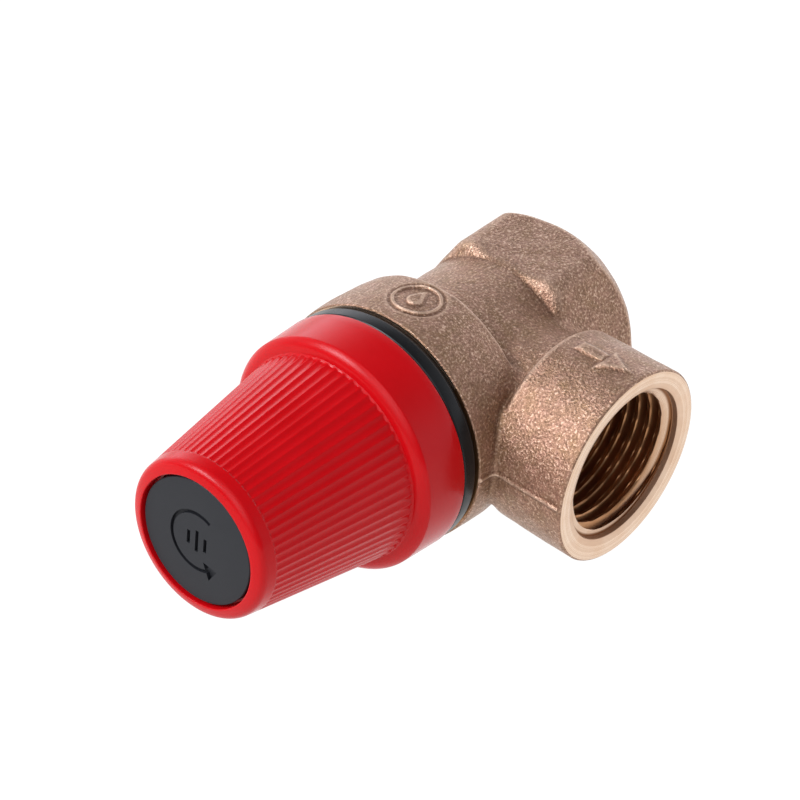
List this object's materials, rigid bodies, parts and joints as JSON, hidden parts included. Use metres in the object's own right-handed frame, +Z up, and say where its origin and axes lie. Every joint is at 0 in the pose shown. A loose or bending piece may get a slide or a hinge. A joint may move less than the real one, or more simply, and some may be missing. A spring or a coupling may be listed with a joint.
{
  "type": "pressure relief valve",
  "caption": "Angle pattern diaphragm relief valve: bronze body with female inlet and side outlet, black bonnet, fluted red twist cap that lifts the disc off its seat.",
  "frame": {"origin": "centre of the inlet mouth, where the inlet thread opens", "axes": "+X leaves the inlet along the valve axis, so the cap points to -X; the side outlet opens to -Y; +Z is up, square to both port axes"},
  "size_m": [0.07, 0.0439, 0.0334],
  "materials": {
    "cast_bronze": "fine blasted casting with machined mouths",
    "brass": "turned",
    "steel": "zinc plated",
    "spring_steel": "drawn wire",
    "rubber": "matte",
    "low_friction_plastic": "satin",
    "black_plastic": "satin",
    "red_plastic": "gloss",
    "black_insert": "fine matte"
  },
  "bodies": {
    "housing": {"valve_body": "cast_bronze", "bonnet": "black_plastic", "bonnet_gasket": "rubber", "slip_ring": "low_friction_plastic", "diaphragm": "rubber", "spring": "spring_steel"},
    "lift_carriage": {"lift_washer": "steel"},
    "cap": {"knob": "red_plastic", "rating_disc": "black_insert"},
    "plunger": {"spindle": "brass", "spindle_nut": "brass", "disc_holder": "brass", "seat_seal": "rubber", "seal_washer": "steel", "seal_screw": "steel", "diaphragm_plate": "brass", "diaphragm_nut": "brass", "lower_spring_seat": "steel"},
    "load_washer": {"thrust_washer": "steel"},
    "adjuster": {"adjusting_nut": "brass"}
  },
  "joints": [
    {"name": "knob_lift", "type": "slide", "parent": "housing", "child": "lift_carriage", "axis": [-1, 0, 0], "range_m": [0, 0.002], "deforming": ["spring", "diaphragm"]},
    {"name": "knob_turn", "type": "hinge", "parent": "lift_carriage", "child": "cap", "pos_m": [-0.06, 0, 0], "axis": [-1, 0, 0], "range_deg": [0, 75]},
    {"name": "pressure_lift", "type": "slide", "parent": "lift_carriage", "child": "plunger", "axis": [-1, 0, 0], "range_m": [0, 0.002], "deforming": ["spring", "diaphragm"]},
    {"name": "adjuster_slide", "type": "slide", "parent": "housing", "child": "load_washer", "axis": [-1, 0, 0], "range_m": [-0.001, 0.001], "deforming": ["spring"]},
    {"name": "adjuster_turn", "type": "hinge", "parent": "load_washer", "child": "adjuster", "pos_m": [-0.053, 0, 0], "axis": [-1, 0, 0], "range_deg": [-360, 360]}
  ],
  "couplings": [
    {"joint": "knob_lift", "follows": "knob_turn", "m_per_rad": 0.0015278},
    {"joint": "adjuster_slide", "follows": "adjuster_turn", "m_per_rad": 0.00015915}
  ]
}
